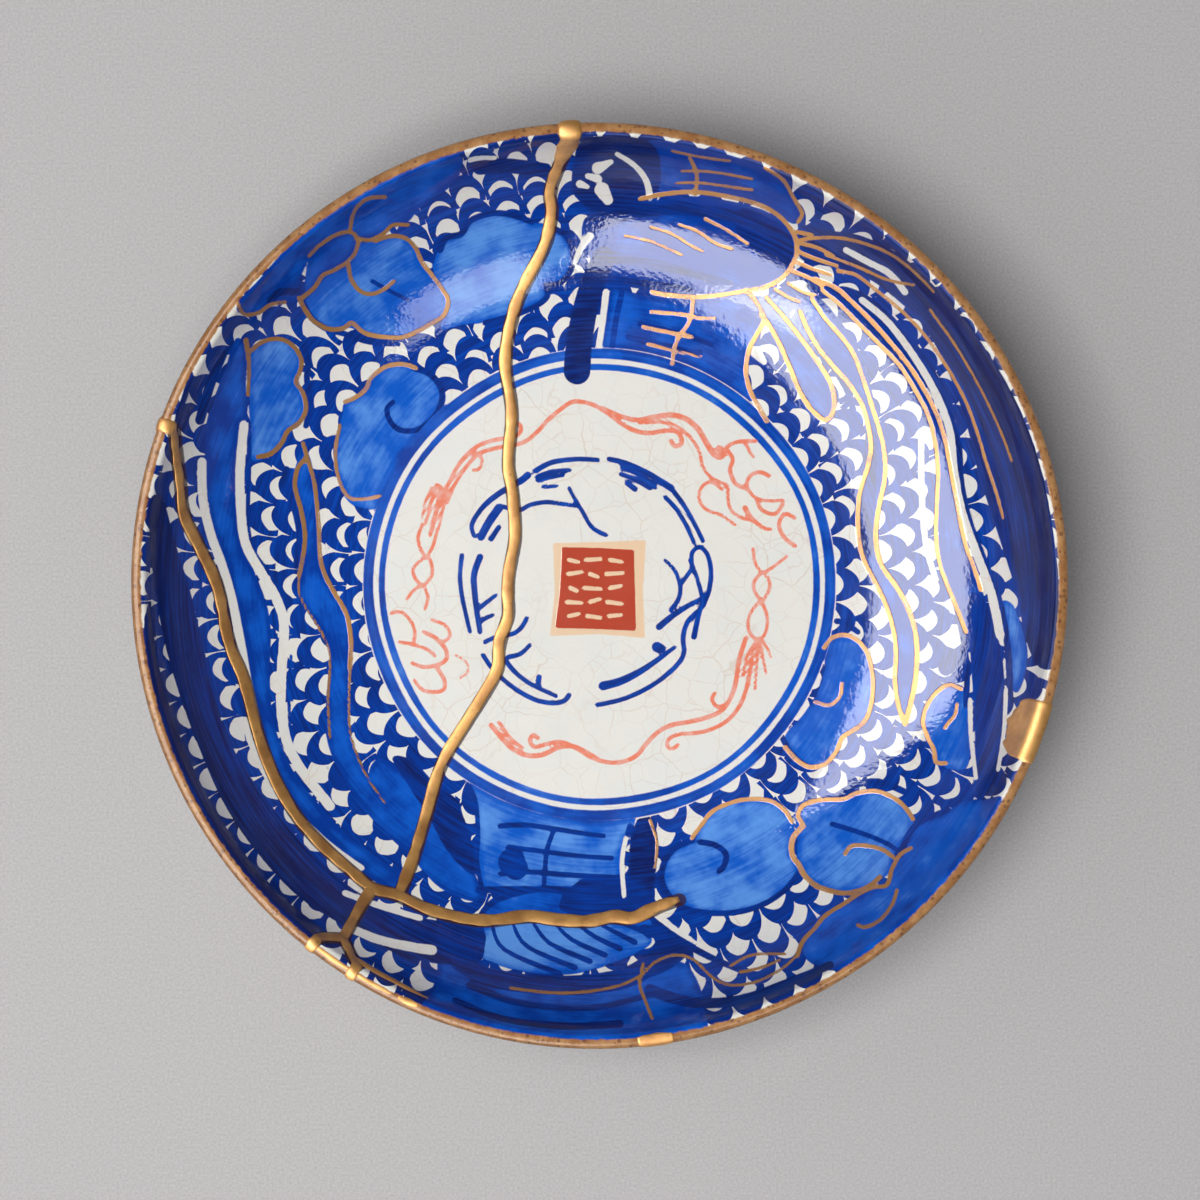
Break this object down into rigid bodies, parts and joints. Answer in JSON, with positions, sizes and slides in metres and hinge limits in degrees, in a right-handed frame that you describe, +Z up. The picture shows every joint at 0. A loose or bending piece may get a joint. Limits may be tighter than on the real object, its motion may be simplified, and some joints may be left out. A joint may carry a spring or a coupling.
{
  "type": "kintsugi dish",
  "caption": "Round deep porcelain dish on a foot ring, painted in blue, broken into sherds and mended with raised gold seams and filled chips along its lip.",
  "frame": {"origin": "centre of the foot ring's sole plane, on the dish's axis", "axes": "+Z up out of the bowl, +X to the right and +Y away from the viewer as the picture shows the dish from above"},
  "size_m": [0.1468, 0.1453, 0.0393],
  "materials": {
    "porcelain": "glossy cream-white glaze over cobalt blue painting",
    "gold_lacquer": "satin gold powder on lacquer"
  },
  "bodies": {
    "root": {"large_sherd": "porcelain", "upper_left_sherd": "porcelain", "left_edge_sherd": "porcelain", "rim_splinter": "porcelain", "gold_seams": "gold_lacquer", "side_chip_fill": "gold_lacquer", "front_chip_fill": "gold_lacquer"}
  },
  "joints": []
}
